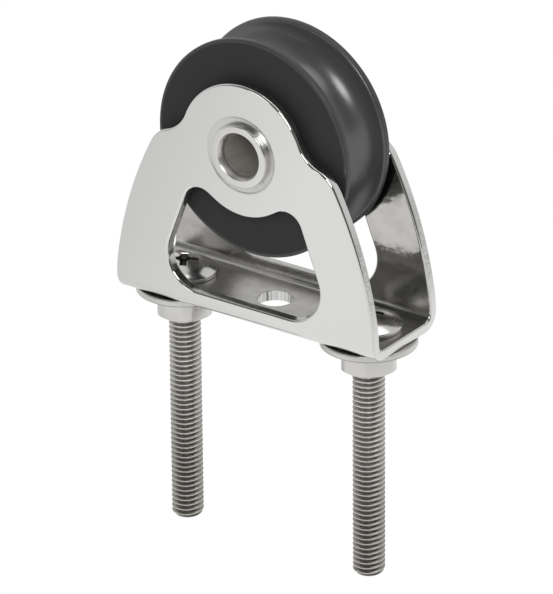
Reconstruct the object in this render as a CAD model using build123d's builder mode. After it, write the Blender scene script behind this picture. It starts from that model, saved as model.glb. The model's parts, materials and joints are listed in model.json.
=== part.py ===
from build123d import *
from math import acos, atan2, cos, degrees, hypot, pi, radians, sin, sqrt, tan
import os

# Stand-up block for deck lines. Frame: X along the base in the plane of the sheave,
# Y along the axle with the front cheek on -Y, Z up, origin in the middle of the
# base's underside, which is the face that meets the deck. Millimetres.

# Bracket, one strip of stainless sheet bent into a U
sheet = 2.0
outer_width = 20.2
bend_inner = 1.5
edge_round = 0.3
head_radius = 13.5
neck_radius = 7.0
shoulder_height = 29.05
shoulder_radius = 6.4
side_radius = 77.0
side_arc_height = -4.0
foot_radius = 25.0
base_end = 8.07
centre_hole_radius = 3.35

# Window in each cheek
window_bottom = 4.2
window_foot_reach = 10.3
window_foot_radius = 6.8
window_top_reach = 9.6
window_top_radius = 3.6
window_dip_radius = 11.8
window_dip_run = 1.96

# Axle, a tube with a collar riveted over each cheek
axle_height = 34.1
axle_radius = 5.0
axle_bore_radius = 3.9
collar_radius = 6.0
collar_proud = 1.0
collar_round = 0.3
mouth_round = 0.65
dish_radius = 7.2
dish_depth = 0.1
dish_angle = 45.0
press_clearance = 0.02

# Sheave, its bush and the washers beside it
sheave_radius = 20.8
sheave_width = 13.4
groove_radius = 5.2
groove_centre_radius = 20.0
rim_round = 0.6
bush_wall = 1.6
bush_proud = 0.15
bush_chamfer = 0.3
running_clearance = 0.05
axial_play = 0.1
thrust_washer_radius = 9.0
thrust_washer_clearance = 0.1

# Deck screws, M6 by 50 with a low domed head and a cross recess
screw_spacing = 41.5
screw_length = 50.0
screw_hole_clearance = 0.2
thread_radius = 3.0
thread_pitch = 1.0
thread_depth = 0.61
thread_crest = 0.2
screw_neck_radius = 2.7
screw_neck_length = 1.5
tip_chamfer = 0.7
screw_head_radius = 6.3
screw_head_height = 2.8
screw_head_rim = 0.6
recess_span = 5.8
recess_wing = 1.4
recess_depth = 1.5
recess_taper = 8.0
recess_pit_radius = 1.5
recess_pit_end_radius = 0.75
recess_pit_depth = 2.4
recess_turn = 33.0

# Penny washers and hex nuts, run up against the base
washer_radius = 9.0
washer_thickness = 1.2
washer_clearance = 0.2
washer_round = 0.2
nut_flats = 10.0
nut_height = 5.0
nut_clearance = 0.05
nut_chamfer_start = 0.95
nut_chamfer_angle = 30.0
nut_mouth = 0.4
nut_turn = 54.2

# Places and sizes that follow from those
cheek_face = outer_width / 2
cheek_inside = cheek_face - sheet
bend_outer = bend_inner + sheet
dish_floor = cheek_face - dish_depth
axle_end = cheek_face + collar_proud
axle_hole_radius = axle_radius + press_clearance
bush_half = sheave_width / 2 + bush_proud
bush_bore_radius = axle_radius + running_clearance
bush_outer_radius = bush_bore_radius + bush_wall
sheave_bore_radius = bush_outer_radius + press_clearance
thrust_washer_inside = bush_half + axial_play
screw_hole_radius = thread_radius + screw_hole_clearance
nut_top = -washer_thickness
nut_bore_radius = thread_radius + nut_clearance
nut_corner_radius = nut_flats / 2 / cos(pi / 6)
sides = {"left": -screw_spacing / 2, "right": screw_spacing / 2}

# Planes that several pieces share
axle_plane = Plane(origin=(0, 0, axle_height), x_dir=(0, 1, 0), z_dir=(1, 0, 0))
axle_axis = Axis((0, 0, axle_height), (0, 1, 0))


# A point at an angle, in radians, on a circle
def on_circle(centre, radius, angle):
    return (centre[0] + radius * cos(angle), centre[1] + radius * sin(angle))


# Angle, in radians, of the line from one point to another
def heading(start, end):
    return atan2(end[1] - start[1], end[0] - start[0])


# Arc about a centre between two angles in radians
def arc(centre, radius, start, end):
    CenterArc(centre, radius, degrees(start), degrees(end - start))


# Angle of the two radii that meet a line touching both circles, where a negative
# second radius lets the line cross between them
def touching_line(first, first_radius, second, second_radius, side):
    spread = hypot(second[0] - first[0], second[1] - first[1])
    return heading(first, second) + side * acos((first_radius - second_radius) / spread)


# Outline of a cheek, drawn for +X and mirrored. The base reaches base_end past its
# screws, and the foot, the side and the shoulder follow one another from there.
axle_centre = (0, axle_height)
base_half_length = screw_spacing / 2 + base_end
foot_centre = (base_half_length - foot_radius, bend_outer)
foot_rise = bend_outer - side_arc_height
side_centre = (
    foot_centre[0] - sqrt((side_radius - foot_radius) ** 2 - foot_rise**2),
    side_arc_height,
)
shoulder_rise = shoulder_height - side_arc_height
shoulder_reach = side_centre[0] + sqrt((side_radius - shoulder_radius) ** 2 - shoulder_rise**2)
shoulder = (shoulder_reach, shoulder_height)
neck_from_axle = head_radius + neck_radius
neck_from_shoulder = neck_radius + shoulder_radius
axle_to_shoulder = hypot(shoulder_reach, shoulder_height - axle_height)
neck_angle = heading(axle_centre, shoulder) + acos(
    (neck_from_axle**2 + axle_to_shoulder**2 - neck_from_shoulder**2)
    / (2 * neck_from_axle * axle_to_shoulder)
)
neck_centre = on_circle(axle_centre, neck_from_axle, neck_angle)
shoulder_to_neck = heading(shoulder, neck_centre)
side_to_shoulder = heading(side_centre, shoulder)
side_to_foot = heading(side_centre, foot_centre)

# Outline of a window, drawn for +X and mirrored. Its top corner stands off the dip
# round the axle by the straight run between them.
window_foot = (window_foot_reach, window_bottom + window_foot_radius)
dip_to_top = hypot(window_dip_radius + window_top_radius, window_dip_run)
window_top = (window_top_reach, axle_height - sqrt(dip_to_top**2 - window_top_reach**2))
window_side = touching_line(window_foot, window_foot_radius, window_top, window_top_radius, -1)
window_lip = touching_line(window_top, window_top_radius, axle_centre, -window_dip_radius, -1)

# The bracket: a channel along X, trimmed to the cheeks' outline and pierced
with BuildPart() as bracket:
    with BuildSketch(Plane.YZ) as channel:
        channel_height = axle_height + head_radius + sheet
        Rectangle(outer_width, channel_height, align=(Align.CENTER, Align.MIN))
        with Locations((0, sheet)):
            Rectangle(
                2 * cheek_inside,
                channel_height,
                align=(Align.CENTER, Align.MIN),
                mode=Mode.SUBTRACT,
            )
        fillet(channel.vertices().group_by(Axis.Y)[0], bend_outer)
        fillet(channel.vertices().filter_by_position(Axis.Y, sheet, sheet), bend_inner)
    extrude(amount=base_half_length + bend_outer, both=True)
    with BuildSketch(Plane.XZ):
        with BuildLine():
            Line((0, 0), (base_half_length, 0))
            Line((base_half_length, 0), (base_half_length, bend_outer))
            arc(foot_centre, foot_radius, 0, side_to_foot)
            arc(side_centre, side_radius, side_to_foot, side_to_shoulder)
            arc(shoulder, shoulder_radius, side_to_shoulder, shoulder_to_neck)
            arc(neck_centre, neck_radius, shoulder_to_neck - pi, neck_angle - pi)
            arc(axle_centre, head_radius, neck_angle, pi / 2)
            mirror(about=Plane.YZ)
        make_face()
    extrude(amount=outer_width, both=True, mode=Mode.INTERSECT)
    with BuildSketch(Plane.XZ):
        with BuildLine():
            Line((0, window_bottom), (window_foot_reach, window_bottom))
            arc(window_foot, window_foot_radius, -pi / 2, window_side)
            Line(
                on_circle(window_foot, window_foot_radius, window_side),
                on_circle(window_top, window_top_radius, window_side),
            )
            arc(window_top, window_top_radius, window_side, window_lip)
            Line(
                on_circle(window_top, window_top_radius, window_lip),
                on_circle(axle_centre, -window_dip_radius, window_lip),
            )
            arc(axle_centre, window_dip_radius, window_lip - pi, -pi / 2)
            mirror(about=Plane.YZ)
        make_face()
    extrude(amount=outer_width, both=True, mode=Mode.SUBTRACT)
    seams = bracket.edges().filter_by(Axis.X).filter_by_position(Axis.Z, 0, bend_outer)
    fillet([edge for edge in bracket.edges() if edge not in seams], edge_round)
    with BuildSketch(Plane.XY):
        Circle(centre_hole_radius)
        with GridLocations(screw_spacing, 0, 2, 1):
            Circle(screw_hole_radius)
    extrude(amount=sheet, mode=Mode.SUBTRACT)
    with BuildSketch(Plane.XZ):
        with Locations(axle_centre):
            Circle(axle_hole_radius)
    extrude(amount=outer_width, both=True, mode=Mode.SUBTRACT)
    for face in (-cheek_face, cheek_face):
        with BuildSketch(Plane((0, face, axle_height), x_dir=(1, 0, 0), z_dir=(0, -face, 0))):
            Circle(dish_radius)
        extrude(amount=dish_depth, taper=dish_angle, mode=Mode.SUBTRACT)
bracket.part.label = "bracket"

# The axle: one tube, its collars seated on the floors of the dishes
with BuildPart() as axle_tube:
    with BuildSketch(axle_plane) as tube_section:
        with Locations((0, axle_bore_radius)):
            Rectangle(2 * dish_floor, axle_radius - axle_bore_radius, align=(Align.CENTER, Align.MIN))
        for end in (-1, 1):
            with Locations((end * (dish_floor + axle_end) / 2, axle_bore_radius)):
                Rectangle(
                    axle_end - dish_floor,
                    collar_radius - axle_bore_radius,
                    align=(Align.CENTER, Align.MIN),
                )
        for place, rounding in ((0, mouth_round), (-1, collar_round)):
            ends = tube_section.vertices().group_by(Axis.X)
            fillet([ends[end].sort_by(Axis.Y)[place] for end in (0, -1)], rounding)
    revolve(axis=axle_axis)
axle_tube.part.label = "axle_tube"

# The sheave, turned with a round-bottomed groove for 8 mm line
with BuildPart() as sheave:
    with BuildSketch(axle_plane) as sheave_section:
        with Locations((0, sheave_bore_radius)):
            Rectangle(
                sheave_width, sheave_radius - sheave_bore_radius, align=(Align.CENTER, Align.MIN)
            )
        with Locations((0, groove_centre_radius)):
            Circle(groove_radius, mode=Mode.SUBTRACT)
            Rectangle(
                2 * groove_radius,
                sheave_radius,
                align=(Align.CENTER, Align.MIN),
                mode=Mode.SUBTRACT,
            )
        fillet(sheave_section.vertices().group_by(Axis.Y)[-1], rim_round)
    revolve(axis=axle_axis)
sheave.part.label = "sheave"

# The bearing bush pressed into the sheave
with BuildPart() as sheave_bush:
    with BuildSketch(axle_plane) as bush_section:
        with Locations((0, bush_bore_radius)):
            Rectangle(2 * bush_half, bush_wall, align=(Align.CENTER, Align.MIN))
        chamfer(bush_section.vertices(), bush_chamfer)
    revolve(axis=axle_axis)
sheave_bush.part.label = "sheave_bush"

# A washer each side of the sheave, flat against the cheek
thrust_washers = {}
for name, side in (("front", -1), ("back", 1)):
    with BuildPart() as thrust_washer:
        with BuildSketch(Plane((0, side * cheek_inside, axle_height), z_dir=(0, -side, 0))):
            Circle(thrust_washer_radius)
            Circle(axle_radius + thrust_washer_clearance, mode=Mode.SUBTRACT)
        extrude(amount=cheek_inside - thrust_washer_inside)
    thrust_washer.part.label = "thrust_washer_" + name
    thrust_washers[name] = thrust_washer

# The deck screws, their thread drawn as rings one pitch apart. The profile's second
# value is the depth below the head's seat.
dome_rise = screw_head_height - screw_head_rim
dome_radius = (screw_head_radius**2 + dome_rise**2) / (2 * dome_rise)
head_top = (0, -screw_head_height)
head_edge = (screw_head_radius, -screw_head_rim)
neck_step = thread_radius - screw_neck_radius
flank = (thread_pitch - thread_crest) / 2
thread_turns = int((screw_length - screw_neck_length - tip_chamfer) / thread_pitch)
screws = {}
for name, place in sides.items():
    with BuildPart() as screw:
        with BuildSketch(Plane((place, 0, sheet), x_dir=(1, 0, 0), z_dir=(0, 1, 0))):
            with BuildLine():
                shank = [
                    head_edge,
                    (screw_head_radius, 0),
                    (screw_neck_radius, 0),
                    (screw_neck_radius, screw_neck_length - neck_step),
                ]
                for turn in range(thread_turns):
                    depth = screw_neck_length + turn * thread_pitch
                    shank.append((thread_radius, depth))
                    shank.append((thread_radius - thread_depth, depth + flank))
                    shank.append((thread_radius, depth + 2 * flank))
                shank.append((thread_radius, screw_length))
                Polyline(*shank, (0, screw_length), head_top)
                RadiusArc(head_top, head_edge, -dome_radius)
            make_face()
        revolve(axis=Axis((place, 0, 0), (0, 0, 1)))
        recess_plane = Plane(
            (place, 0, sheet + screw_head_height),
            x_dir=(cos(radians(recess_turn)), sin(radians(recess_turn)), 0),
            z_dir=(0, 0, -1),
        )
        with BuildSketch(recess_plane):
            Rectangle(recess_span, recess_wing)
            Rectangle(recess_wing, recess_span)
        extrude(amount=recess_depth, taper=recess_taper, mode=Mode.SUBTRACT)
        with BuildSketch(recess_plane):
            Circle(recess_pit_radius)
        extrude(
            amount=recess_pit_depth,
            taper=degrees(atan2(recess_pit_radius - recess_pit_end_radius, recess_pit_depth)),
            mode=Mode.SUBTRACT,
        )
        chamfer(screw.edges().filter_by(GeomType.CIRCLE).group_by(Axis.Z)[0], tip_chamfer)
    screw.part.label = "screw_" + name
    screws[name] = screw

# The penny washers under the base
washers = {}
for name, place in sides.items():
    with BuildPart() as washer:
        with BuildSketch(Plane((place, 0, 0), z_dir=(0, 0, -1))):
            Circle(washer_radius)
            Circle(thread_radius + washer_clearance, mode=Mode.SUBTRACT)
        extrude(amount=washer_thickness)
        fillet(washer.edges().filter_by(GeomType.CIRCLE).group_by(SortBy.RADIUS)[-1], washer_round)
    washer.part.label = "washer_" + name
    washers[name] = washer

# The nuts, hexagons with both faces chamfered by a cone
nut_chamfer_radius = nut_flats / 2 * nut_chamfer_start
nut_chamfer_height = (nut_corner_radius - nut_chamfer_radius) * tan(radians(nut_chamfer_angle))
nuts = {}
for name, place in sides.items():
    with BuildPart() as nut:
        with BuildSketch(Plane((place, 0, nut_top), z_dir=(0, 0, -1))):
            RegularPolygon(nut_flats / 2, 6, major_radius=False, rotation=nut_turn)
        extrude(amount=nut_height)
        with BuildSketch(Plane((place, 0, nut_top - nut_height), x_dir=(1, 0, 0), z_dir=(0, -1, 0))):
            with BuildLine():
                Polyline(
                    (nut_bore_radius + nut_mouth, 0),
                    (nut_chamfer_radius, 0),
                    (nut_corner_radius, nut_chamfer_height),
                    (nut_corner_radius, nut_height - nut_chamfer_height),
                    (nut_chamfer_radius, nut_height),
                    (nut_bore_radius + nut_mouth, nut_height),
                    (nut_bore_radius, nut_height - nut_mouth),
                    (nut_bore_radius, nut_mouth),
                    close=True,
                )
            make_face()
        revolve(axis=Axis((place, 0, 0), (0, 0, 1)), mode=Mode.INTERSECT)
    nut.part.label = "nut_" + name
    nuts[name] = nut

os.makedirs("parts", exist_ok=True)
pieces = [bracket, axle_tube, sheave, sheave_bush]
for group in (thrust_washers, screws, washers, nuts):
    pieces.extend(group.values())
for piece in pieces:
    export_step(piece.part, "parts/" + piece.part.label + ".step")
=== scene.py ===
import bpy
import json
import math
from mathutils import Matrix, Vector


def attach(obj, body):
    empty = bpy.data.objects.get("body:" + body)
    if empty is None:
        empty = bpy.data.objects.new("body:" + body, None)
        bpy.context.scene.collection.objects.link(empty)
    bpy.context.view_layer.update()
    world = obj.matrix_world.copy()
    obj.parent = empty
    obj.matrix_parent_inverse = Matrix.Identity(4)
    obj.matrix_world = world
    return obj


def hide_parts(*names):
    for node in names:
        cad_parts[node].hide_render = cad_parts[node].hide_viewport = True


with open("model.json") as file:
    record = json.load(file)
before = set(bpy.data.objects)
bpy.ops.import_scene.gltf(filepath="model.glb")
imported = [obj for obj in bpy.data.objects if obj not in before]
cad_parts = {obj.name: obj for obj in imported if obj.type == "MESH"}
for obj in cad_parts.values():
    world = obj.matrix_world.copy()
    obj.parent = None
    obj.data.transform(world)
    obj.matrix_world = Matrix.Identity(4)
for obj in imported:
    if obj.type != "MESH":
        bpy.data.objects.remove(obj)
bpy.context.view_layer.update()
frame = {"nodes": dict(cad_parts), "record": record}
nodes = frame["nodes"]
bpy.ops.object.select_all(action="DESELECT")
print("frame loaded:", len(nodes), "nodes")

# places that more than one piece goes by, in mm; the frame itself is in metres
mm = 0.001
axleHeight = 34.1
screwPlace = 20.75
screwTip = -48.0


# camera, at the photograph's place: angles in radians, lengths in metres
view = {
    "azimuth": 0.624458892,
    "elevation": 0.437615624,
    "roll": -0.00903254,
    "distance": 1.012958,
    "aim": (0.0002505, 0.0, 0.0023119),
    "pixelsPerMetre": 5470.19,
    "longSide": 594,
    "sensor": 36,
    "nearest": 0.05,
    "farthest": 20,
}


def towards(azimuth, elevation):
    # azimuth 0 looks from the front, turning to the right
    return Vector((
        math.sin(azimuth) * math.cos(elevation),
        -math.cos(azimuth) * math.cos(elevation),
        math.sin(elevation),
    ))


def placeCamera(v):
    back = towards(v["azimuth"], v["elevation"])
    right = Vector((math.cos(v["azimuth"]), math.sin(v["azimuth"]), 0.0))
    up = back.cross(right)
    across = right * math.cos(v["roll"]) + up * math.sin(v["roll"])
    upward = up * math.cos(v["roll"]) - right * math.sin(v["roll"])
    turn = Matrix((across, upward, back)).transposed()
    bpy.ops.object.camera_add()
    camera = bpy.context.object
    camera.name = "camera"
    camera.matrix_world = Matrix.Translation(Vector(v["aim"]) + back * v["distance"]) @ turn.to_4x4()
    camera.data.sensor_width = v["sensor"]
    camera.data.lens = v["sensor"] * v["pixelsPerMetre"] * v["distance"] / v["longSide"]
    camera.data.clip_start = v["nearest"]
    camera.data.clip_end = v["farthest"]
    bpy.context.scene.camera = camera


placeCamera(view)
bpy.context.scene.view_settings.view_transform = "Standard"
print("camera ready")


# helpers for node trees
def give(tree, value, socket):
    # a socket takes a link, or a plain number, vector or colour
    if isinstance(value, bpy.types.NodeSocket):
        tree.links.new(value, socket)
    elif socket.type == "RGBA":
        socket.default_value = (*value, 1.0)
    else:
        socket.default_value = value


def add(tree, kind, **values):
    node = tree.nodes.new(kind)
    for key, value in values.items():
        setattr(node, key, value)
    return node


def maths(tree, operation, a, b=None):
    node = add(tree, "ShaderNodeMath", operation=operation)
    give(tree, a, node.inputs[0])
    if b is not None:
        give(tree, b, node.inputs[1])
    return node.outputs[0]


def ramp(tree, value, low, high, fromZero=0.0, toOne=1.0):
    node = add(tree, "ShaderNodeMapRange", clamp=True)
    for label, amount in (
        ("Value", value), ("From Min", low), ("From Max", high), ("To Min", fromZero), ("To Max", toOne),
    ):
        give(tree, amount, node.inputs[label])
    return node.outputs["Result"]


def mixColour(tree, factor, a, b, blend="MIX"):
    node = add(tree, "ShaderNodeMix", data_type="RGBA", blend_type=blend)
    for place, value in ((0, factor), (6, a), (7, b)):
        give(tree, value, node.inputs[place])
    return node.outputs[2]


def mixValue(tree, factor, a, b):
    node = add(tree, "ShaderNodeMix", data_type="FLOAT")
    for place, value in ((0, factor), (2, a), (3, b)):
        give(tree, value, node.inputs[place])
    return node.outputs[0]


def vectorMaths(tree, operation, a, b=None):
    node = add(tree, "ShaderNodeVectorMath", operation=operation)
    give(tree, a, node.inputs[0])
    if b is not None:
        give(tree, b, node.inputs[1])
    return node.outputs["Value" if operation in ("DOT_PRODUCT", "LENGTH") else "Vector"]


def noise(tree, vector, scale, detail, rough):
    node = add(tree, "ShaderNodeTexNoise")
    for label, value in (("Vector", vector), ("Scale", scale), ("Detail", detail), ("Roughness", rough)):
        give(tree, value, node.inputs[label])
    return node.outputs["Fac"]


def useGroup(tree, group, **values):
    node = add(tree, "ShaderNodeGroup", node_tree=group)
    for label, value in values.items():
        give(tree, value, node.inputs[label])
    return node.outputs


# a pale room: white paper floor, soft lamps, darker behind the camera
studio = {
    "floorSize": 6.0, "paper": (0.9, 0.9, 0.9), "floorWhite": 0.90, "floorGlow": 1.05,
    "floorAlong": (0.88, -0.47, 0),  # the direction along which a mirrored floor changes
    "leftToRight": (-0.040, -0.006), "rightToFar": (0.02, 0.10),
    # painted light: how bright mirrors see the floor glow at the left, at the right and far to the right
    "mirroredLeft": 0.905, "mirroredRight": 1.11, "mirroredFar": 0.97,
    "worldLight": 0.60, "behindCamera": (0.40, -0.85, 0.33), "roomTurns": (0.05, 0.55), "roomDark": 0.16,
    "lampAim": (0, 0, 0.02), "lampDistance": 0.75,
    "lamps": (  # azimuth and elevation in degrees, then size and power
        ("key", 33, 33, 0.30, 1.9),
        ("fill", -20, 13, 0.20, 0.25),
        ("top", 120, 72, 0.55, 1.0),
    ),
}


def buildWorld(s):
    world = bpy.data.worlds.new("studio")
    bpy.context.scene.world = world
    world.use_nodes = True
    tree = world.node_tree
    tree.nodes.clear()
    rays = add(tree, "ShaderNodeLightPath").outputs
    seen = maths(tree, "MAXIMUM", rays["Is Camera Ray"], rays["Is Transmission Ray"])
    direction = add(tree, "ShaderNodeTexCoord").outputs["Generated"]
    behind = vectorMaths(tree, "DOT_PRODUCT", direction, s["behindCamera"])
    room = ramp(tree, behind, *s["roomTurns"], 1.0, s["roomDark"])
    unseen = mixValue(tree, rays["Is Glossy Ray"], s["worldLight"], room)
    background = add(tree, "ShaderNodeBackground")
    give(tree, mixValue(tree, seen, unseen, 1.0), background.inputs["Strength"])
    give(tree, background.outputs[0], add(tree, "ShaderNodeOutputWorld").inputs[0])


def buildFloor(s):
    bpy.ops.mesh.primitive_plane_add(size=s["floorSize"], location=(0, 0, screwTip * mm))
    floor = bpy.context.object
    floor.name = "floor"
    bpy.ops.object.transform_apply(location=True)
    paint = bpy.data.materials.new("floorPaper")
    paint.use_nodes = True
    tree = paint.node_tree
    tree.nodes.clear()
    rays = add(tree, "ShaderNodeLightPath").outputs
    seen = maths(tree, "MAXIMUM", rays["Is Camera Ray"], rays["Is Glossy Ray"])
    seen = maths(tree, "MAXIMUM", seen, rays["Is Transmission Ray"])
    matt = add(tree, "ShaderNodeBsdfDiffuse")
    give(tree, s["paper"], matt.inputs["Color"])
    # painted light in the floor's glow, which only mirrors see: a little darker at the left and again far to
    # the right, brighter between
    place = add(tree, "ShaderNodeTexCoord").outputs["Object"]
    along = vectorMaths(tree, "DOT_PRODUCT", place, s["floorAlong"])
    mirrored = ramp(tree, along, *s["leftToRight"], s["mirroredLeft"], s["mirroredRight"])
    far = ramp(tree, along, *s["rightToFar"], 1.0, s["mirroredFar"] / s["mirroredRight"])
    mirrored = maths(tree, "MULTIPLY", mirrored, far)
    glow = add(tree, "ShaderNodeEmission")
    give(tree, mixValue(tree, rays["Is Glossy Ray"], s["floorGlow"], mirrored), glow.inputs["Strength"])
    both = add(tree, "ShaderNodeMixShader")
    give(tree, maths(tree, "MULTIPLY", seen, s["floorWhite"]), both.inputs[0])
    give(tree, matt.outputs[0], both.inputs[1])
    give(tree, glow.outputs[0], both.inputs[2])
    give(tree, both.outputs[0], add(tree, "ShaderNodeOutputMaterial").inputs[0])
    floor.data.materials.append(paint)


def addLamp(s, name, azimuth, elevation, size, power):
    away = towards(math.radians(azimuth), math.radians(elevation))
    bpy.ops.object.light_add(type="AREA", location=Vector(s["lampAim"]) + away * s["lampDistance"])
    lamp = bpy.context.object
    lamp.name = name
    lamp.rotation_euler = away.to_track_quat("Z", "Y").to_euler()
    lamp.data.shape = "DISK"
    lamp.data.size = size
    lamp.data.energy = power


buildWorld(studio)
buildFloor(studio)
for lampValues in studio["lamps"]:
    addLamp(studio, *lampValues)
print("studio ready")


# what all finishes share: a pattern is its noise's scale, detail and roughness; reach, width and depth in mm
marks = {
    "smudge": (140, 3.0, 0.55), "smudgeFrom": 0.38, "smudgeTo": 0.70,
    "scratch": (1500, 4.0, 0.6), "scratchFrom": 0.35, "scratchTo": 0.65, "scratchDepth": 0.1,
    "mottle": (55, 2.0, 0.5), "grainDetail": (3.0, 0.6), "grainFrom": 0.36, "grainTo": 0.60,
    "ringsPerMetre": 9000, "ringDetail": 3.0, "ringsFrom": 0.30, "ringsTo": 0.70, "ringHeight": 1.5,
    "wearWidth": 0.4, "wearFrom": 0.995, "wearTo": 0.90,
    # the crevice values set painted shade where two surfaces meet, from ambient occlusion
    "paintedCreviceReach": 1.0, "paintedCreviceFrom": 0.60, "paintedCreviceTo": 0.20, "raySamples": 6,
}


def newGroup(name, inputs, outputs):
    group = bpy.data.node_groups.new(name, "ShaderNodeTree")
    for label, kind, value in inputs:
        socket = group.interface.new_socket(name=label, in_out="INPUT", socket_type="NodeSocket" + kind)
        if value is not None:
            socket.default_value = value
    for label in outputs:
        group.interface.new_socket(name=label, in_out="OUTPUT", socket_type="NodeSocketFloat")
    return group, group.nodes.new("NodeGroupInput").outputs, group.nodes.new("NodeGroupOutput").inputs


def makeHandling(m):
    # smudges, fine scratches along one direction, and uneven tone
    inputs = [("Vector", "Vector", None), ("Streak", "Vector", (1, 1, 1))]
    group, given, out = newGroup("handlingMarks", inputs, ["Smudge", "Scratch", "Mottle"])
    smudge = noise(group, given["Vector"], *m["smudge"])
    give(group, ramp(group, smudge, m["smudgeFrom"], m["smudgeTo"]), out["Smudge"])
    streaked = vectorMaths(group, "MULTIPLY", given["Vector"], given["Streak"])
    fine = noise(group, streaked, *m["scratch"])
    give(group, ramp(group, fine, m["scratchFrom"], m["scratchTo"]), out["Scratch"])
    give(group, noise(group, given["Vector"], *m["mottle"]), out["Mottle"])
    return group


def makeEdgeWear(m):
    # edges, found where a bevelled normal leaves the real one
    group, given, out = newGroup("edgeWear", [("Width", "Float", m["wearWidth"] * mm)], ["Mask"])
    bevelled = add(group, "ShaderNodeBevel", samples=m["raySamples"])
    give(group, given["Width"], bevelled.inputs["Radius"])
    flat = add(group, "ShaderNodeNewGeometry").outputs["Normal"]
    alike = vectorMaths(group, "DOT_PRODUCT", bevelled.outputs[0], flat)
    give(group, ramp(group, alike, m["wearFrom"], m["wearTo"]), out["Mask"])
    return group


def makeDistance():
    # distance to an axis or a centre; X and Y are taken both ways, Z as it is
    inputs = [("Vector", "Vector", None), ("Centre", "Vector", (0, 0, 0)), ("Across", "Vector", (1, 0, 1))]
    group, given, out = newGroup("distanceFromAxis", inputs, ["Distance"])
    folded = add(group, "ShaderNodeSeparateXYZ")
    give(group, vectorMaths(group, "ABSOLUTE", given["Vector"]), folded.inputs[0])
    plain = add(group, "ShaderNodeSeparateXYZ")
    give(group, given["Vector"], plain.inputs[0])
    joined = add(group, "ShaderNodeCombineXYZ")
    for label, source in (("X", folded), ("Y", folded), ("Z", plain)):
        give(group, source.outputs[label], joined.inputs[label])
    moved = vectorMaths(group, "SUBTRACT", joined.outputs["Vector"], given["Centre"])
    flat = vectorMaths(group, "MULTIPLY", moved, given["Across"])
    give(group, vectorMaths(group, "LENGTH", flat), out["Distance"])
    return group


def makeTurned(m):
    # fine rings that a lathe tool or a press leaves, from the distance to the axis
    group, given, out = newGroup("turnedRings", [("Radius", "Float", 0.0)], ["Rings"])
    fine = add(group, "ShaderNodeTexNoise", noise_dimensions="1D")
    give(group, maths(group, "MULTIPLY", given["Radius"], m["ringsPerMetre"]), fine.inputs["W"])
    give(group, 1.0, fine.inputs["Scale"])
    give(group, m["ringDetail"], fine.inputs["Detail"])
    give(group, ramp(group, fine.outputs["Fac"], m["ringsFrom"], m["ringsTo"]), out["Rings"])
    return group


def makePaintedCreviceShade(m):
    # painted shade where two surfaces meet, darker where ambient occlusion finds another surface near
    group, given, out = newGroup("paintedCreviceShade", [("Reach", "Float", m["paintedCreviceReach"] * mm)], ["Mask"])
    shade = add(group, "ShaderNodeAmbientOcclusion", samples=m["raySamples"])
    give(group, given["Reach"], shade.inputs["Distance"])
    give(group, ramp(group, shade.outputs["AO"], m["paintedCreviceFrom"], m["paintedCreviceTo"]), out["Mask"])
    return group


handlingMarks = makeHandling(marks)
edgeWear = makeEdgeWear(marks)
distanceFromAxis = makeDistance()
turnedRings = makeTurned(marks)
paintedCreviceShade = makePaintedCreviceShade(marks)


# axes and centres that zones and rings are measured from: a point in mm, and the directions that count
axes = {
    "fromAxle": ((0, 0, axleHeight), (1, 0, 1)),
    "fromScrew": ((screwPlace, 0, 0), (1, 1, 0)),
    "fromMiddle": ((0, 0, 0), (1, 1, 0)),
    "fromDome": ((screwPlace, 0, -6.12), (1, 1, 1)),  # middle of the ball that a screw's head is part of
}


def measured(tree, place, measure):
    if measure in axes:
        centre, across = axes[measure]
        centre = tuple(c * mm for c in centre)
        return useGroup(tree, distanceFromAxis, Vector=place, Centre=centre, Across=across)["Distance"]
    split = add(tree, "ShaderNodeSeparateXYZ")
    give(tree, place, split.inputs[0])
    if measure == "height":
        return split.outputs["Z"]
    return maths(tree, "ABSOLUTE", split.outputs["X" if measure == "aside" else "Y"])


def whereMask(tree, place, where):
    mask = None
    for measure, none, full in where:
        share = ramp(tree, measured(tree, place, measure), none * mm, full * mm)
        mask = share if mask is None else maths(tree, "MULTIPLY", mask, share)
    return mask


def zoneMask(tree, place, zone):
    mask = whereMask(tree, place, zone["where"])
    if "either" in zone:
        one, other = (whereMask(tree, place, where) for where in zone["either"])
        mask = maths(tree, "MULTIPLY", mask, maths(tree, "MAXIMUM", one, other))
    return mask


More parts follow.
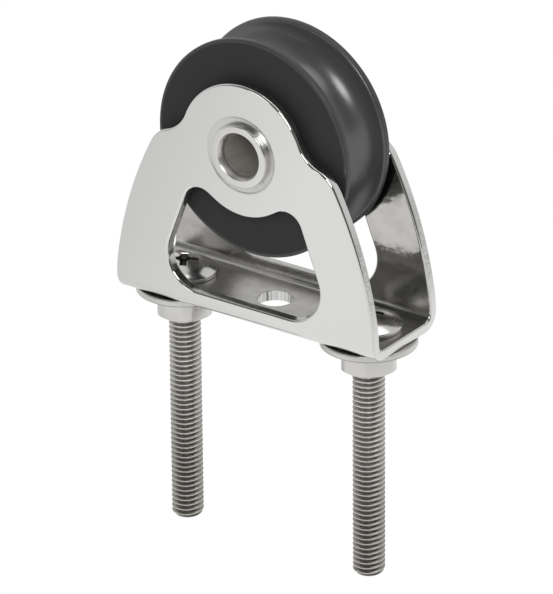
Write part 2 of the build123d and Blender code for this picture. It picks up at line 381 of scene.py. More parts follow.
# zones with a finish of their own: "where" gives measures, with the mm at which a zone is absent and full
# a measure is "aside" along X, "depth" along Y, "height" up Z, or the distance from an axis or a centre above
# "grain" is the pattern's scale, its stretch and its darkest tone
zones = {
    "inside": {  # inner faces of the bent sheet: rougher where the polishing wheel reaches less, and painted darker as shade inside the channel
        "where": (("depth", 8.3, 8.1), ("height", 1.8, 2.0)),
        "colour": (0.500, 0.492, 0.468), "rough": 0.10, "grain": (260, (1, 1, 1), 0.88),
    },
    "corner": {  # insides of the cheeks just above the bends, rougher and painted darker as shade inside the channel
        "where": (("depth", 7.4, 7.9), ("depth", 8.3, 8.1), ("height", 1.8, 2.0), ("height", 12.0, 8.0)),
        "colour": (0.520, 0.512, 0.488), "rough": 0.18, "grain": (320, (1, 1, 1), 0.84),
    },
    "base": {  # top of the base, duller than the cheeks' inner faces and painted darker as shade inside the channel
        "where": (("depth", 7.8, 6.8), ("height", 1.8, 2.0), ("height", 3.0, 2.4)),
        "colour": (0.520, 0.512, 0.490), "rough": 0.24, "grain": (420, (1, 1, 1), 0.86),
    },
    "cut": {  # the sheared thickness of the sheet, in the windows and part of the way up the cheeks' ends
        "where": (("depth", 8.22, 8.40), ("depth", 9.98, 9.80)),
        "either": (
            (("aside", 18.5, 17.5), ("height", 3.4, 3.7)),
            (("height", 6.0, 12.0), ("height", 27.0, 22.0)),
        ),
        "colour": (0.58, 0.575, 0.56), "rough": 0.14, "grain": (2600, (1, 0.4, 1), 0.72),
    },
    "hole": {  # drilled wall of the centre hole
        "where": (("fromMiddle", 3.45, 3.38), ("height", 2.1, 1.9)),
        "colour": (0.66, 0.655, 0.64), "rough": 0.13, "grain": (2400, (1, 1, 0.02), 0.60),
    },
    "dish": {  # ring pressed flat by the riveting die
        "where": (("fromAxle", 7.65, 7.40), ("depth", 9.5, 9.7)),
        "colour": (0.60, 0.595, 0.58), "rough": 0.30, "grain": (900, (1, 1, 1), 0.93),
    },
    "mouth": {  # satin flare at each end of the axle
        "where": (("fromAxle", 4.68, 4.60), ("depth", 11.09, 11.03)),
        "colour": (0.62, 0.61, 0.59), "rough": 0.32, "grain": (900, (1, 1, 1), 0.85),
    },
    "bore": {  # "bare" is how far the dull bore loses its metal
        "where": (("fromAxle", 4.02, 3.93), ("depth", 10.0, 9.5)),
        "colour": (0.42, 0.403, 0.370), "rough": 0.50, "grain": (700, (1, 0.2, 1), 0.85), "bare": 0.50,
    },
    "thread": {  # flanks and roots painted darker than the crests: oxide in the roots, and painted shade on the flanks
        "where": (("fromScrew", 3.00, 2.88), ("height", 2.1, 1.9)),
        "colour": (0.43, 0.415, 0.385), "rough": 0.27, "grain": (1800, (1, 1, 1), 0.80),
    },
    "tip": {  # the thread darkens towards the tip
        "where": (("height", -16.0, -36.0),), "tint": (0.74, 0.735, 0.72),
    },
    "recess": {  # inside of the cross recess, below the dome, painted near black as shade
        "where": (("fromDome", 10.89, 10.78), ("fromScrew", 3.4, 3.2), ("height", 2.0, 2.1)),
        "colour": (0.045, 0.043, 0.040), "rough": 0.45, "grain": (1200, (1, 1, 1), 0.8),
    },
    "burr": {  # sheared lower edge of a stamped washer, painted dark as shade under the rim
        "where": (("height", -0.98, -1.12), ("fromScrew", 8.6, 8.8)),
        "colour": (0.22, 0.215, 0.20), "rough": 0.35, "grain": (2400, (1, 1, 1), 0.45),
    },
}

# every metal takes these, then its own values; "edge" is how wide worn edges are in mm, "worn" how much paler
anyMetal = {
    "scratch": 0.03, "edge": 0.2, "ringRough": 0.04, "worn": 1.12, "rings": None, "waves": None,
    # painted crevice shade: how much of it, and its colour
    "paintedCreviceShare": 0.40, "paintedCreviceColour": (0.10, 0.095, 0.085),
}
metals = {
    "polishedSteel": {
        "colour": (0.655, 0.652, 0.640), "mottled": (0.635, 0.631, 0.617), "rough": 0.03, "smudged": 0.04,
        "streak": (0.25, 1.0, 1.0), "scratch": 0.02, "edge": 0.3,
        "zones": ("inside", "corner", "base", "cut", "hole", "dish"),
        "waves": {"zone": "inside", "pattern": (300, 2.0, 0.5), "deep": 0.06},
    },
    "turnedSteel": {
        "colour": (0.675, 0.670, 0.658), "mottled": (0.62, 0.615, 0.60), "rough": 0.15, "smudged": 0.06,
        "streak": (1.0, 0.3, 1.0), "scratch": 0.02, "edge": 0.3,
        "zones": ("mouth", "bore"), "rings": "fromAxle",
    },
    "screwSteel": {
        "colour": (0.66, 0.655, 0.64), "mottled": (0.58, 0.57, 0.55), "rough": 0.13, "smudged": 0.08,
        "streak": (1.0, 1.0, 0.4), "zones": ("thread", "tip", "recess"),
    },
    "washerSteel": {
        "colour": (0.625, 0.62, 0.605), "mottled": (0.55, 0.54, 0.52), "rough": 0.28, "smudged": 0.10,
        "streak": (1.0, 0.3, 1.0), "zones": ("burr",), "rings": "fromScrew",
    },
    "nutSteel": {
        "colour": (0.63, 0.625, 0.61), "mottled": (0.54, 0.53, 0.51), "rough": 0.20, "smudged": 0.06,
        "streak": (1.0, 1.0, 0.3), "edge": 0.3, "zones": (), "rings": "fromScrew",
    },
}

# every plastic takes these in the same way
anyPlastic = {
    "smudged": 0.08, "streak": (1, 1, 1), "scratch": 0.05, "edge": 0.4, "ringRough": 0.05, "worn": 1.6,
    # painted crevice shade: how much of it, and its colour
    "rings": "fromAxle", "paintedCreviceShare": 0.3, "paintedCreviceColour": (0.3, 0.3, 0.3), "groove": None,
}
plastics = {
    "blackSheave": {
        "colour": (0.033, 0.033, 0.033), "mottled": (0.039, 0.039, 0.039), "rough": 0.42, "specular": 0.08,
        "groove": {  # the line polishes the groove and greys it
            "where": (("depth", 5.8, 5.2), ("fromAxle", 8.0, 10.0)), "colour": (0.058, 0.059, 0.060),
            "rims": (("fromAxle", 20.0, 20.4),), "rimShine": 0.4, "coatRough": 0.28, "coatGlass": 1.8,
        },
    },
    "bearingPlastic": {
        "colour": (0.62, 0.61, 0.57), "mottled": (0.56, 0.55, 0.51), "rough": 0.40, "specular": 0.5,
    },
}


def startFinish(name, v):
    # a material with its marks, rings and worn edges, which closeFinish puts into the shader later
    paint = bpy.data.materials.new(name)
    paint.use_nodes = True
    tree = paint.node_tree
    place = add(tree, "ShaderNodeTexCoord").outputs["Object"]
    handled = useGroup(tree, handlingMarks, Vector=place, Streak=v["streak"])
    height = handled["Scratch"]
    rough = maths(tree, "ADD", maths(tree, "MULTIPLY", handled["Smudge"], v["smudged"]), v["rough"])
    if v["rings"]:
        rings = useGroup(tree, turnedRings, Radius=measured(tree, place, v["rings"]))["Rings"]
        height = maths(tree, "ADD", height, maths(tree, "MULTIPLY", rings, marks["ringHeight"]))
        rough = maths(tree, "ADD", rough, maths(tree, "MULTIPLY", rings, v["ringRough"]))
    wear = useGroup(tree, edgeWear, Width=v["edge"] * mm)["Mask"]
    worn = tuple(min(1, c * v["worn"]) for c in v["colour"])
    body = mixColour(tree, handled["Mottle"], v["colour"], v["mottled"])
    body = mixColour(tree, wear, body, worn)
    return paint, place, body, rough, height


def addZone(tree, place, zone, body, rough, plain):
    mask = zoneMask(tree, place, zone)
    if "tint" in zone:
        return mixColour(tree, mask, body, zone["tint"], "MULTIPLY"), rough
    scale, stretch, darkest = zone["grain"]
    grain = noise(tree, vectorMaths(tree, "MULTIPLY", place, stretch), scale, *marks["grainDetail"])
    share = ramp(tree, grain, marks["grainFrom"], marks["grainTo"], darkest, 1.0)
    tone = mixColour(tree, share, (0, 0, 0), zone["colour"])
    more = maths(tree, "MULTIPLY", mask, zone["rough"] - plain)
    return mixColour(tree, mask, body, tone), maths(tree, "ADD", rough, more)


def closeFinish(tree, v, body, rough, height):
    # painted crevice shade over the colour, then everything into the shader
    shader = tree.nodes["Principled BSDF"].inputs
    shade = maths(tree, "MULTIPLY", useGroup(tree, paintedCreviceShade)["Mask"], v["paintedCreviceShare"])
    give(tree, mixColour(tree, shade, body, v["paintedCreviceColour"], "MULTIPLY"), shader["Base Color"])
    give(tree, rough, shader["Roughness"])
    bump = add(tree, "ShaderNodeBump")
    give(tree, v["scratch"], bump.inputs["Strength"])
    give(tree, marks["scratchDepth"] * mm, bump.inputs["Distance"])
    give(tree, height, bump.inputs["Height"])
    give(tree, bump.outputs[0], shader["Normal"])
    return bump


def makeMetal(name, v):
    paint, place, body, rough, height = startFinish(name, v)
    tree = paint.node_tree
    shader = tree.nodes["Principled BSDF"].inputs
    give(tree, 1.0, shader["Metallic"])
    for label in v["zones"]:
        zone = zones[label]
        body, rough = addZone(tree, place, zone, body, rough, v["rough"])
        if "bare" in zone:
            lost = maths(tree, "MULTIPLY", zoneMask(tree, place, zone), zone["bare"])
            give(tree, maths(tree, "SUBTRACT", 1.0, lost), shader["Metallic"])
    bump = closeFinish(tree, v, body, rough, height)
    if v["waves"]:
        # the sheet is a little uneven where it isn't polished flat
        waves = v["waves"]
        swell = add(tree, "ShaderNodeBump")
        give(tree, waves["deep"] * mm, swell.inputs["Distance"])
        uneven = noise(tree, place, *waves["pattern"])
        there = zoneMask(tree, place, zones[waves["zone"]])
        give(tree, maths(tree, "MULTIPLY", uneven, there), swell.inputs["Height"])
        give(tree, swell.outputs[0], bump.inputs["Normal"])
    return paint


def makePlastic(name, v):
    paint, place, body, rough, height = startFinish(name, v)
    tree = paint.node_tree
    shader = tree.nodes["Principled BSDF"].inputs
    if v["groove"]:
        g = v["groove"]
        groove = whereMask(tree, place, g["where"])
        rims = maths(tree, "MULTIPLY", whereMask(tree, place, g["rims"]), g["rimShine"])
        body = mixColour(tree, groove, body, g["colour"])
        give(tree, maths(tree, "MAXIMUM", groove, rims), shader["Coat Weight"])
        give(tree, g["coatRough"], shader["Coat Roughness"])
        give(tree, g["coatGlass"], shader["Coat IOR"])
    give(tree, v["specular"], shader["Specular IOR Level"])
    closeFinish(tree, v, body, rough, height)
    return paint


paints = {name: makeMetal(name, {**anyMetal, **values}) for name, values in metals.items()}
paints.update({name: makePlastic(name, {**anyPlastic, **values}) for name, values in plastics.items()})
slotPaint = {
    "polished_steel": "polishedSteel",
    "turned_steel": "turnedSteel",
    "black_sheave": "blackSheave",
    "bearing_plastic": "bearingPlastic",
    "screw_steel": "screwSteel",
    "washer_steel": "washerSteel",
    "nut_steel": "nutSteel",
}
for subpart in frame["record"]["subparts"]:
    for holder in nodes[subpart["node"]].material_slots:
        holder.material = paints[slotPaint[subpart["material_slot"]]]
print("finishes ready")


# helpers for modelling
def selectOnly(piece):
    bpy.ops.object.select_all(action="DESELECT")
    piece.select_set(True)
    bpy.context.view_layer.objects.active = piece


def arc(centre, radius, start, end, steps):
    # points round a centre, angles in degrees
    points = []
    for i in range(steps + 1):
        angle = math.radians(start + (end - start) * i / steps)
        points.append((centre[0] + radius * math.cos(angle), centre[1] + radius * math.sin(angle)))
    return points


def drawProfile(name, points):
    # a chain of edges drawn point by point, in metres; edit mode stays on
    bpy.ops.object.select_all(action="DESELECT")
    bpy.ops.mesh.primitive_plane_add(size=mm, location=points[0])
    piece = bpy.context.object
    piece.name = name
    bpy.ops.object.mode_set(mode="EDIT")
    bpy.ops.mesh.select_all(action="SELECT")
    bpy.ops.mesh.merge(type="CENTER")
    for a, b in zip(points, points[1:]):
        step = tuple(q - p for p, q in zip(a, b))
        bpy.ops.mesh.extrude_vertices_move(TRANSFORM_OT_translate={"value": step})
    bpy.ops.mesh.select_all(action="SELECT")
    return piece


def placeInMesh(piece):
    selectOnly(piece)
    bpy.ops.object.transform_apply(location=True, rotation=True, scale=True)


def mergeDoubles():
    bpy.ops.mesh.select_all(action="SELECT")
    bpy.ops.mesh.remove_doubles(threshold=0.001 * mm)


def turnOutwards():
    bpy.ops.mesh.select_all(action="SELECT")
    bpy.ops.mesh.normals_make_consistent(inside=False)


def turnProfile(name, points, centre, axis, steps):
    piece = drawProfile(name, points)
    bpy.ops.mesh.spin(steps=steps, angle=2 * math.pi, center=centre, axis=axis)
    mergeDoubles()
    turnOutwards()
    bpy.ops.object.mode_set(mode="OBJECT")
    placeInMesh(piece)
    return piece


def turnUpright(name, points, steps):
    # profile of (radius, height) in mm about the Z axis
    placed = [(r * mm, 0, z * mm) for r, z in points]
    return turnProfile(name, placed, (0, 0, 0), (0, 0, 1), steps)


def turnOnAxle(name, points, steps):
    # profile of (along the axle, radius) in mm about the axle
    height = axleHeight * mm
    placed = [(0, y * mm, height + r * mm) for y, r in points]
    return turnProfile(name, placed, (0, 0, height), (0, 1, 0), steps)


def smooth(piece, angle):
    selectOnly(piece)
    bpy.ops.object.shade_smooth_by_angle(angle=math.radians(angle))


def applyModifier(piece, kind, **values):
    selectOnly(piece)
    modifier = piece.modifiers.new(kind.lower(), kind)
    for key, value in values.items():
        setattr(modifier, key, value)
    bpy.ops.object.modifier_apply(modifier=modifier.name)


def combine(piece, tool, operation):
    applyModifier(piece, "BOOLEAN", operation=operation, solver="EXACT", object=tool)
    bpy.data.objects.remove(tool)


def breakEdges(piece, width, sharperThan):
    angle = math.radians(sharperThan)
    applyModifier(piece, "BEVEL", width=width * mm, segments=2, limit_method="ANGLE", angle_limit=angle)


def join(piece, other):
    selectOnly(piece)
    other.select_set(True)
    bpy.ops.object.join()


def copyPiece(piece, name, shift):
    selectOnly(piece)
    bpy.ops.object.duplicate(linked=False)
    twin = bpy.context.object
    twin.name = name
    twin.location = shift
    placeInMesh(twin)
    return twin


def finishPiece(piece, body, node, slotName):
    piece.data.materials.clear()
    piece.data.materials.append(paints[slotPaint[slotName]])
    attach(piece, body)
    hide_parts(node)


def finishPair(piece, name, slotName, body=None):
    # a copy at each screw, on the body given or else each on a body of its own
    for side, x in (("left", -screwPlace), ("right", screwPlace)):
        node = name + "_" + side
        twin = copyPiece(piece, name + side.capitalize(), (x * mm, 0, 0))
        finishPiece(twin, body or node, node, slotName)
    bpy.data.objects.remove(piece)


# bracket: a channel along X, trimmed to the cheeks' outline, pierced and rounded
bracket = {
    "half": 10.1, "sheet": 2.0, "bendOutside": 3.5, "bendInside": 1.5, "top": 50.0,
    "head": 13.5, "neck": 7.0, "shoulderHeight": 29.05, "shoulder": 6.4,
    "side": 77.0, "sideHeight": -4.0, "foot": 25.0, "halfLength": 28.82, "below": -5.0,
    "stripHalf": 40.0, "cheeksHalf": 20.0,  # how far the uncut shapes reach along X and Y
    "windowBottom": 4.2, "windowFootReach": 10.3, "windowFoot": 6.8,
    "windowTopReach": 9.6, "windowTop": 3.6, "windowDip": 11.8, "windowDipRun": 1.96,
    "windowDraft": 0.11, "windowTuck": 0.15, "windowMiddle": 13.0, "windowReach": 17.0, "windowRise": 9.0,
    "punchSpare": 0.8, "drillFrom": -1.0, "drillTo": 3.0, "drillHalf": 15.0,
    "centreHole": 3.35, "screwHole": 3.2, "axleHole": 5.02, "holeSteps": 72, "axleHoleSteps": 96,
    "edge": 0.45, "edgeSegments": 4, "holeEdge": 0.10, "holeSegments": 2, "sharp": 50, "smoothUnder": 60,
    "holeSpare": 0.1, "holesDepth": 4.0, "holesAside": 25.0,  # round the holes, which keep a finer edge
    "dish": 7.2, "dishDepth": 0.1, "dishSlope": 0.3, "dishSteps": 8, "dishRound": 192,
    "dishPast": 0.006, "dishOut": 0.5, "dishWide": 0.3,  # how far the dish's cutter goes beyond it
}


def onCircle(centre, radius, angle):
    turn = math.radians(angle)
    return (centre[0] + radius * math.cos(turn), centre[1] + radius * math.sin(turn))


def heading(start, end):
    return math.degrees(math.atan2(end[1] - start[1], end[0] - start[0]))


def touching(first, firstRadius, second, secondRadius, side):
    # angle of the radii that meet a line touching both circles
    apart = math.dist(first, second)
    return heading(first, second) + side * math.degrees(math.acos((firstRadius - secondRadius) / apart))


def bothHalves(half):
    return half + [(-x, z) for x, z in reversed(half)]


def cheekOutline(v):
    foot = (v["halfLength"] - v["foot"], v["bendOutside"])
    drop = v["bendOutside"] - v["sideHeight"]
    side = (foot[0] - math.sqrt((v["side"] - v["foot"]) ** 2 - drop ** 2), v["sideHeight"])
    rise = v["shoulderHeight"] - v["sideHeight"]
    shoulder = (side[0] + math.sqrt((v["side"] - v["shoulder"]) ** 2 - rise ** 2), v["shoulderHeight"])
    axleCentre = (0, axleHeight)
    fromAxle = v["head"] + v["neck"]
    fromShoulder = v["shoulder"] + v["neck"]
    apart = math.dist(axleCentre, shoulder)
    spread = (fromAxle ** 2 + apart ** 2 - fromShoulder ** 2) / (2 * fromAxle * apart)
    neckAngle = heading(axleCentre, shoulder) + math.degrees(math.acos(spread))
    neck = onCircle(axleCentre, fromAxle, neckAngle)
    toNeck = heading(shoulder, neck)
    half = [(0, v["below"]), (v["halfLength"], v["below"])]
    half += arc(foot, v["foot"], 0, heading(side, foot), 8)
    half += arc(side, v["side"], heading(side, foot), heading(side, shoulder), 24)
    half += arc(shoulder, v["shoulder"], heading(side, shoulder), toNeck, 20)
    half += arc(neck, v["neck"], toNeck - 180, neckAngle - 180, 18)
    half += arc(axleCentre, v["head"], neckAngle, 90, 24)
    return bothHalves(half)


def windowOutline(v):
    foot = (v["windowFootReach"], v["windowBottom"] + v["windowFoot"])
    apart = math.hypot(v["windowDip"] + v["windowTop"], v["windowDipRun"])
    top = (v["windowTopReach"], axleHeight - math.sqrt(apart ** 2 - v["windowTopReach"] ** 2))
    axleCentre = (0, axleHeight)
    side = touching(foot, v["windowFoot"], top, v["windowTop"], -1)
    lip = touching(top, v["windowTop"], axleCentre, -v["windowDip"], -1)
    half = [(0, v["windowBottom"])]
    half += arc(foot, v["windowFoot"], -90, side, 24)
    half += arc(top, v["windowTop"], side, lip, 20)
    half += arc(axleCentre, v["windowDip"], lip - 180, -90, 20)
    return bothHalves(half)


def channelOutline(v):
    h = v["half"]
    bend = (h - v["bendOutside"], v["bendOutside"])
    half = [(0, 0)] + arc(bend, v["bendOutside"], 270, 360, 12) + [(h, v["top"]), (h - v["sheet"], v["top"])]
    half += arc(bend, v["bendInside"], 360, 270, 10) + [(0, v["sheet"])]
    return bothHalves(half)


def extruded(name, points, step):
    # a closed outline filled and drawn out along a step, in metres
    piece = drawProfile(name, points + [points[0]])
    mergeDoubles()
    bpy.ops.mesh.edge_face_add()
    bpy.ops.mesh.extrude_region_move(TRANSFORM_OT_translate={"value": step})
    turnOutwards()
    bpy.ops.object.mode_set(mode="OBJECT")
    placeInMesh(piece)
    return piece


def dishCutter(v, side):
    # a shallow round step with a soft wall
    face = v["half"]
    floor = face - v["dishDepth"]
    start = v["dish"] - v["dishSlope"] / 2
    rise = v["dishDepth"] + v["dishPast"]
    points = [(floor, 0)]
    for i in range(v["dishSteps"] + 1):
        t = i / v["dishSteps"]
        points.append((floor + rise * (1 - math.cos(math.pi * t)) / 2, start + v["dishSlope"] * t))
    points += [(face + v["dishOut"], start + v["dishSlope"] + v["dishWide"]), (face + v["dishOut"], 0)]
    return turnOnAxle("dishCutter", [(side * y, r) for y, r in points], v["dishRound"])


def windowLoop(v, side, y):
    # the window's outline at a depth, opening outwards as a punched hole does
    grow = (y - v["half"]) * v["windowDraft"] - v["windowTuck"]
    wider = 1 + grow / v["windowReach"]
    taller = 1 + grow / v["windowRise"]
    middle = v["windowMiddle"]
    points = [(x * wider, middle + (z - middle) * taller) for x, z in windowOutline(v)]
    loop = drawProfile("window", [(x * mm, side * y * mm, z * mm) for x, z in points + [points[0]]])
    bpy.ops.object.mode_set(mode="OBJECT")
    placeInMesh(loop)
    return loop


def windowCutter(v, side):
    piece = windowLoop(v, side, v["half"] - v["sheet"] - v["punchSpare"])
    join(piece, windowLoop(v, side, v["half"] + v["punchSpare"]))
    bpy.ops.object.mode_set(mode="EDIT")
    mergeDoubles()
    bpy.ops.mesh.select_mode(type="EDGE")
    bpy.ops.mesh.select_all(action="SELECT")
    bpy.ops.mesh.bridge_edge_loops()
    bpy.ops.mesh.select_all(action="SELECT")
    bpy.ops.mesh.fill_holes(sides=0)
    turnOutwards()
    bpy.ops.mesh.select_mode(type="VERT")
    bpy.ops.object.mode_set(mode="OBJECT")
    return piece


def roundEdges(piece, width, segments, sharp, leaveOut=None):
    # bevels every edge sharper than an angle in degrees, but for those whose middle is to be left out
    selectOnly(piece)
    bpy.ops.object.mode_set(mode="EDIT")
    bpy.ops.mesh.select_mode(type="EDGE")
    bpy.ops.mesh.select_all(action="DESELECT")
    bpy.ops.mesh.edges_select_sharp(sharpness=math.radians(sharp))
    bpy.ops.object.mode_set(mode="OBJECT")
    if leaveOut:
        corners = piece.data.vertices
        for edge in piece.data.edges:
            a, b = edge.vertices
            if edge.select and leaveOut((corners[a].co + corners[b].co) / 2):
                edge.select = False
    bpy.ops.object.mode_set(mode="EDIT")
    bpy.ops.mesh.bevel(offset=width * mm, segments=segments, affect="EDGES", clamp_overlap=False)
    bpy.ops.mesh.select_mode(type="VERT")
    bpy.ops.object.mode_set(mode="OBJECT")


def makeBracket(v):
    long = v["stripHalf"] * mm
    wide = v["cheeksHalf"] * mm
    sheet = [(-long, y * mm, z * mm) for y, z in channelOutline(v)]
    piece = extruded("bracketSheet", sheet, (2 * long, 0, 0))
    outline = [(x * mm, -wide, z * mm) for x, z in cheekOutline(v)]
    cheeks = extruded("cheeks", outline, (0, 2 * wide, 0))
    combine(piece, cheeks, "INTERSECT")
    for side in (-1, 1):
        combine(piece, windowCutter(v, side), "DIFFERENCE")
    for x, r in ((0, v["centreHole"]), (-screwPlace, v["screwHole"]), (screwPlace, v["screwHole"])):
        low = v["drillFrom"]
        high = v["drillTo"]
        hole = turnUpright("hole", [(0, low), (r, low), (r, high), (0, high)], v["holeSteps"])
        hole.location = (x * mm, 0, 0)
        placeInMesh(hole)
        combine(piece, hole, "DIFFERENCE")
    # the dishes come before the axle hole, which a later dish would leave ragged
    for side in (-1, 1):
        combine(piece, dishCutter(v, side), "DIFFERENCE")
    r = v["axleHole"]
    d = v["drillHalf"]
    drill = turnOnAxle("axleHole", [(-d, 0), (-d, r), (d, r), (d, 0)], v["axleHoleSteps"])
    combine(piece, drill, "DIFFERENCE")

    def atHole(spot):
        # the axle hole, or one of the three holes in the base
        if math.hypot(spot.x, spot.z - axleHeight * mm) < (r + v["holeSpare"]) * mm:
            return True
        inBase = spot.z < (v["sheet"] + v["holeSpare"]) * mm
        return inBase and abs(spot.y) < v["holesDepth"] * mm and abs(spot.x) < v["holesAside"] * mm

    roundEdges(piece, v["edge"], v["edgeSegments"], v["sharp"], atHole)
    roundEdges(piece, v["holeEdge"], v["holeSegments"], v["sharp"])
    smooth(piece, v["smoothUnder"])
    applyModifier(piece, "WEIGHTED_NORMAL", weight=100, keep_sharp=True)
    print("bracket faces:", len(piece.data.polygons))
    finishPiece(piece, "frame", "bracket", "polished_steel")


makeBracket(bracket)
print("bracket ready")


# sheave, turned with a round-bottomed groove; its rims are rounded more on the groove's side
sheave = {
    "radius": 20.8, "half": 6.7, "bore": 6.67, "mouth": 0.4, "rimRound": 0.3, "lipRound": 0.6,
    "grooveRadius": 5.2, "grooveCentre": 20.0, "steps": 192, "smoothUnder": 25,
}


def makeSheave(v):
    h = v["half"]
    r = v["radius"]
    b = v["bore"]
    m = v["mouth"]
    rim = v["rimRound"]
    lip = v["lipRound"]
    g = v["grooveRadius"]
    points = [(-h, b + m)]
    points += arc((-h + rim, r - rim), rim, 180, 90, 8)
    points += arc((-g - lip, r - lip), lip, 90, 0, 8)
    points += arc((0, v["grooveCentre"]), g, 180, 360, 40)
    points += arc((g + lip, r - lip), lip, 180, 90, 8)
    points += arc((h - rim, r - rim), rim, 90, 0, 8)
    points += [(h, b + m), (h - m, b), (-h + m, b)]
    points.append(points[0])
    piece = turnOnAxle("sheaveWheel", points, v["steps"])
    smooth(piece, v["smoothUnder"])
    finishPiece(piece, "sheave", "sheave", "black_sheave")


makeSheave(sheave)
print("sheave ready")


# axle tube with its two riveted collars
axle = {
    "bore": 3.9, "tube": 5.0, "collar": 6.0, "seat": 10.0, "end": 11.1,
    "collarRound": 0.35, "steps": 128, "smoothUnder": 30,
    "mouth": (  # the flare, told by depth from the end and by width beyond the bore
        (1.7, 0.0), (1.5, 0.02), (1.2, 0.08), (0.9, 0.18), (0.6, 0.32),
        (0.35, 0.47), (0.15, 0.62), (0.05, 0.70), (0.0, 0.75),
    ),
}


def makeAxle(v):
    e = v["end"]
    c = v["collarRound"]
    half = [(e - deep, v["bore"] + wide) for deep, wide in v["mouth"]]
    half += arc((e - c, v["collar"] - c), c, 0, 90, 8)
    half += [(v["seat"], v["collar"]), (v["seat"], v["tube"])]
    points = half + [(-y, r) for y, r in reversed(half)]
    points.append(points[0])
    piece = turnOnAxle("axleTube", points, v["steps"])
    smooth(piece, v["smoothUnder"])
    finishPiece(piece, "frame", "axle_tube", "turned_steel")


makeAxle(axle)
print("axle ready")


# deck screws: rolled right-hand thread, low domed head, cross recess
screw = {
    "seat": 2.0, "tip": screwTip, "tipChamfer": 0.7, "blankSteps": 64, "blankPast": 0.05,
    "radius": 3.0, "root": 2.39, "pitch": 1.0, "firstCrest": 0.9, "spareTurns": 3, "threadSteps": 48,
    # half a turn of the thread: how far a point is in from the crest or out from the root, and its height
    "crestSide": ((0, 0), (0, 0.08), (0.03, 0.115)), "rootSide": ((0.05, 0.40), (0, 0.46)),
    "headRadius": 6.3, "headHeight": 2.8, "headRim": 0.8, "rimRound": 0.4, "headFoot": 0.12,
    "headNeck": 2.0, "headSink": 0.5, "headSteps": 128, "headEdge": 0.08, "sharp": 35, "smoothUnder": 32,
    "recessSpan": 5.8, "recessWing": 1.4, "recessDepth": 1.5, "recessTaper": 0.86, "recessTurn": 33.0,
    "pitRadius": 1.5, "pitEnd": 0.75, "pitDepth": 2.4, "pitSteps": 48, "over": 0.2,
}


def makeThread(v):
    r = v["radius"]
    half = [(r - inwards, z) for inwards, z in v["crestSide"]]
    half += [(v["root"] + outwards, z) for outwards, z in v["rootSide"]]
    turn = half + [(x, v["pitch"] - z) for x, z in reversed(half)]
    # the first turn starts below the tip and the last ends above the seat; both are cut off there
    low = v["tip"] - v["pitch"] - v["firstCrest"]
    turns = round((v["seat"] - v["tip"]) / v["pitch"]) + v["spareTurns"]
    piece = drawProfile("thread", [(x * mm, 0, (low + z) * mm) for x, z in turn])
    bpy.ops.object.mode_set(mode="OBJECT")
    placeInMesh(piece)
    applyModifier(
        piece, "SCREW", axis="Z", angle=2 * math.pi, screw_offset=v["pitch"] * mm, iterations=turns,
        steps=v["threadSteps"], render_steps=v["threadSteps"],
        use_merge_vertices=True, merge_threshold=0.01 * mm, use_normal_calculate=True,
    )
    bpy.ops.object.mode_set(mode="EDIT")
    mergeDoubles()  # joins each turn to the next
    for height, outwards in (("tip", -1), ("seat", 1)):
        bpy.ops.mesh.select_all(action="SELECT")
        bpy.ops.mesh.bisect(
            plane_co=(0, 0, v[height] * mm), plane_no=(0, 0, outwards), threshold=0.0001 * mm,
            clear_outer=True, use_fill=True,
        )
    turnOutwards()
    bpy.ops.object.mode_set(mode="OBJECT")
    c = v["tipChamfer"]
    spare = v["headSink"]
    past = v["blankPast"]
    blank = [(0, v["tip"] - spare), (r - c - spare, v["tip"] - spare), (r - c, v["tip"])]
    blank += [(r + past, v["tip"] + c + past), (r + past, v["seat"] + spare), (0, v["seat"] + spare)]
    combine(piece, turnUpright("screwBlank", blank, v["blankSteps"]), "INTERSECT")
    return piece


def recessBar(v, top, angle):
    # one bar of the cross, narrower towards its lower end
    over = v["over"]
    middle = top - v["recessDepth"] / 2
    bpy.ops.mesh.primitive_cube_add(size=1, location=(0, 0, (middle + over / 2) * mm))
    bar = bpy.context.object
    bar.scale = (v["recessSpan"] * mm, v["recessWing"] * mm, (v["recessDepth"] + over) * mm)
    bar.rotation_euler = (0, 0, math.radians(v["recessTurn"] + angle))
    placeInMesh(bar)
    bpy.ops.object.mode_set(mode="EDIT")
    bpy.ops.mesh.select_all(action="DESELECT")
    bpy.ops.object.mode_set(mode="OBJECT")
    for corner in bar.data.vertices:
        corner.select = corner.co.z < middle * mm
    bpy.ops.object.mode_set(mode="EDIT")
    bpy.ops.transform.resize(value=(v["recessTaper"], v["recessTaper"], 1), center_override=(0, 0, 0))
    bpy.ops.object.mode_set(mode="OBJECT")
    return bar


def makeHead(v):
    s = v["seat"]
    r = v["headRadius"]
    k = v["rimRound"]
    foot = v["headFoot"]
    top = s + v["headHeight"]
    rise = v["headHeight"] - v["headRim"]
    big = (r ** 2 + rise ** 2) / (2 * rise)
    slope = math.acos((r - k) / (big - k))  # where the dome runs into the rim's rounding
    edge = math.degrees(slope)
    points = arc((0, top - big), big, 90, edge, 24)
    points += arc((r - k, top - big + (big - k) * math.sin(slope)), k, edge, 0, 6)[1:]
    points += [(r, s + foot), (r - foot, s)]
    points += [(v["headNeck"], s), (v["headNeck"], s - v["headSink"]), (0, s - v["headSink"])]
    piece = turnUpright("head", points, v["headSteps"])
    for angle in (0, 90):
        combine(piece, recessBar(v, top, angle), "DIFFERENCE")
    end = top - v["pitDepth"]
    pit = [(0, top + v["over"]), (v["pitRadius"], top + v["over"]), (v["pitEnd"], end), (0, end - v["over"])]
    combine(piece, turnUpright("pit", pit, v["pitSteps"]), "DIFFERENCE")
    breakEdges(piece, v["headEdge"], v["sharp"])
    return piece


def makeScrews(v):
    shank = makeThread(v)
    piece = makeHead(v)
    join(piece, shank)
    smooth(piece, v["smoothUnder"])
    finishPair(piece, "screw", "screw_steel", "frame")


makeScrews(screw)
print("screws ready")


# penny washers
washer = {
    "radius": 9.0, "bore": 3.2, "top": 0.0, "thick": 1.2, "round": 0.25, "burr": 0.12,
    "steps": 128, "smoothUnder": 40,
}


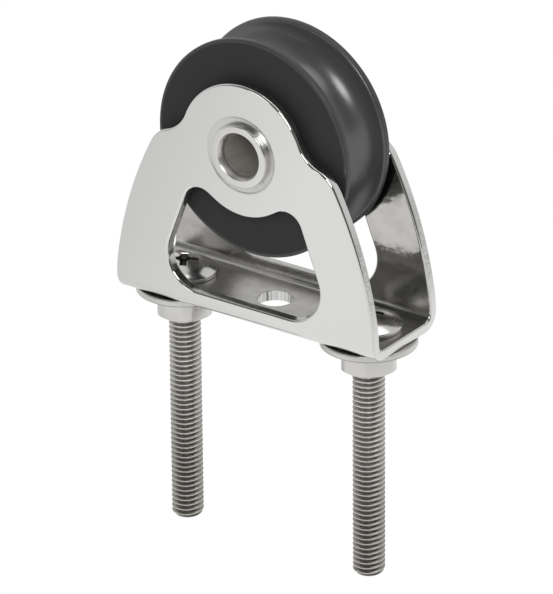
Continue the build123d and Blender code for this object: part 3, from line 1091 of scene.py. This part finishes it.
def makeWashers(v):
    top = v["top"]
    low = top - v["thick"]
    k = v["round"]
    b = v["burr"]
    r = v["radius"]
    bore = v["bore"]
    points = [(bore + b, top)] + arc((r - k, top - k), k, 90, 0, 6)
    points += arc((r - b, low + b), b, 0, -90, 3)
    points += [(bore + b, low), (bore, low + b), (bore, top - b)]
    points.append(points[0])
    piece = turnUpright("washer", points, v["steps"])
    smooth(piece, v["smoothUnder"])
    finishPair(piece, "washer", "washer_steel")


makeWashers(washer)
print("washers ready")


# hex nuts, a hair below the washers so that no two faces lie in one plane
nut = {
    "flats": 10.0, "top": -1.21, "height": 4.99, "turned": 5.8, "cornerRadius": 5.42,
    "bore": 3.05, "mouth": 0.4, "over": 0.2,
    "chamferRadius": 4.75, "chamferAngle": 30.0, "steps": 96,
    "edge": 0.10, "sharp": 24, "smoothUnder": 30,
}


def makeNuts(v):
    top = v["top"]
    low = top - v["height"]
    toCorner = 30  # degrees from the middle of a flat to a corner
    corner = v["flats"] / 2 / math.cos(math.radians(toCorner))
    bpy.ops.mesh.primitive_cylinder_add(
        vertices=6, radius=corner * mm, depth=v["height"] * mm,
        location=(0, 0, (top + low) / 2 * mm), rotation=(0, 0, math.radians(v["turned"] - toCorner)),
    )
    piece = bpy.context.object
    placeInMesh(piece)
    # chamfers above and below, and corners turned off by the bar's rounding
    out = v["cornerRadius"]
    face = v["chamferRadius"]
    drop = (out - face) * math.tan(math.radians(v["chamferAngle"]))
    cone = [(0, top), (face, top), (out, top - drop), (out, low + drop), (face, low), (0, low)]
    combine(piece, turnUpright("nutCone", cone, v["steps"]), "INTERSECT")
    b = v["bore"]
    m = v["mouth"]
    over = v["over"]
    hole = [(0, top + over), (b + m + over, top + over), (b, top - m)]
    hole += [(b, low + m), (b + m + over, low - over), (0, low - over)]
    combine(piece, turnUpright("nutHole", hole, v["steps"]), "DIFFERENCE")
    breakEdges(piece, v["edge"], v["sharp"])
    smooth(piece, v["smoothUnder"])
    finishPair(piece, "nut", "nut_steel")


makeNuts(nut)
print("nuts ready")
